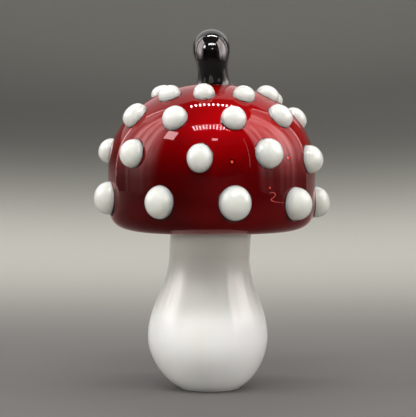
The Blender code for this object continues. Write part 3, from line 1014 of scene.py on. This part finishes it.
# The tent's seams, window, back wall and rail, and a desk lamp, all mirrored in the glass, by azimuth,
# elevation, width, height and brightness
TENT_DISTANCE = 0.8
for name, azimuth, elevation, width, height, brightness in (
    ("left_seam", -127, 26, 0.016, 1.30, 9.0),
    ("left_window", -57, 42, 0.15, 0.15, 16.0),
    ("right_seam", 126, 28, 0.012, 1.00, 9.0),
    ("front_seam", 41, 24, 0.012, 0.50, 2.5),
    ("back_wall", 190, 43, 1.34, 0.68, 0.8),
    ("front_rail", 1, 65, 0.55, 0.010, 7.0),
    ("desk_lamp", 4, 41, 0.075, 0.05, 18.0),
):
    power = brightness * math.pi * width * height
    lamp_facing_ornament(name, azimuth, elevation, TENT_DISTANCE, width, height, power)

# The tent's side walls: cloth lit from outside, with soft folds, seen only as veils in the glass
FOLD = 0.09
cloth, tree, shader, here = new_material("lit_tent_cloth")
hung = add(tree, "ShaderNodeMapping", {"Scale": (1, 1, 0.12)}, {"Vector": here})
folds = add(tree, "ShaderNodeTexNoise", {"Scale": 1 / FOLD, "Detail": 1.0}, {"Vector": hung.outputs[0]})
shade = add(
    tree,
    "ShaderNodeMapRange",
    {"From Min": 0.35, "From Max": 0.65, "To Min": 0.5, "To Max": 1.2},
    {"Value": folds.outputs["Fac"]},
)
lit = add(tree, "ShaderNodeAttribute", {"attribute_name": "lit"})
glow = add(
    tree,
    "ShaderNodeMath",
    {"operation": "MULTIPLY"},
    {0: lit.outputs["Fac"], 1: shade.outputs["Result"]},
)
shader.inputs["Base Color"].default_value = linear("#202020")
shader.inputs["Emission Color"].default_value = linear("#FFF4F2")
tree.links.new(glow.outputs[0], shader.inputs["Emission Strength"])

WALL_BRIGHTNESS = 6.5
WALL_FOOT = -4  # elevation of its lower edge, in degrees
COLUMNS, ROWS = 60, 40


def eased(value, start, end):
    """0 up to the start, 1 from the end on, and a smooth rise between them."""
    share = min(1.0, max(0.0, (value - start) / (end - start)))
    return share * share * (3 - 2 * share)


# Each wall runs from its near to its far azimuth. It is fully lit from one azimuth on, dimmer from the
# next, and darkest at its foot.
for name, side, near, lit_from, dim_from, far, top in (
    ("left_wall", -1, 56, 80, 102, 127, 54),
    ("right_wall", 1, 49, 55, 100, 126, 62),
):
    corners, levels, faces = [], [], []
    for i in range(COLUMNS + 1):
        azimuth = near + (far - near) * i / COLUMNS
        a = math.radians(azimuth) * side
        across = eased(azimuth, near, lit_from) * (1 - 0.75 * eased(azimuth, dim_from, dim_from + 10))
        for j in range(ROWS + 1):
            elevation = WALL_FOOT + (top - WALL_FOOT) * j / ROWS
            height = TARGET.z + TENT_DISTANCE * math.tan(math.radians(elevation))
            corners.append((TENT_DISTANCE * math.sin(a), -TENT_DISTANCE * math.cos(a), height))
            upwards = 0.04 + 0.16 * eased(elevation, -3, 4) + 0.8 * eased(elevation, 3, 20)
            levels.append(WALL_BRIGHTNESS * across * upwards)
    for i in range(COLUMNS):
        for j in range(ROWS):
            first = i * (ROWS + 1) + j
            faces.append((first, first + 1, first + ROWS + 2, first + ROWS + 1))
    mesh = bpy.data.meshes.new(name)
    mesh.from_pydata(corners, [], faces)
    mesh.attributes.new("lit", "FLOAT", "POINT").data.foreach_set("value", levels)
    mesh.materials.append(cloth)
    wall = bpy.data.objects.new(name, mesh)
    bpy.context.scene.collection.objects.link(wall)
    wall.visible_diffuse = wall.visible_camera = wall.visible_shadow = False

# A dim grey room, and the camera at the photograph's viewing angle
CAMERA_PLACE = (-1.74 * MM, -490 * MM, 81.4 * MM)
CAMERA_TILT = 2.2  # down from level, in degrees
FOCAL_LENGTH = 121.3
world = bpy.data.worlds.new("room")
bpy.context.scene.world = world
world.use_nodes = True
world.node_tree.nodes["Background"].inputs["Color"].default_value = (0.1, 0.1, 0.1, 1)
world.node_tree.nodes["Background"].inputs["Strength"].default_value = 1.0

lens = bpy.data.cameras.new("camera")
lens.lens = FOCAL_LENGTH
lens.clip_start = 0.01
camera = bpy.data.objects.new("camera", lens)
bpy.context.scene.collection.objects.link(camera)
camera.location = CAMERA_PLACE
camera.rotation_euler = (math.radians(90 - CAMERA_TILT), 0, 0)
bpy.context.scene.camera = camera
bpy.context.scene.view_settings.view_transform = "Standard"
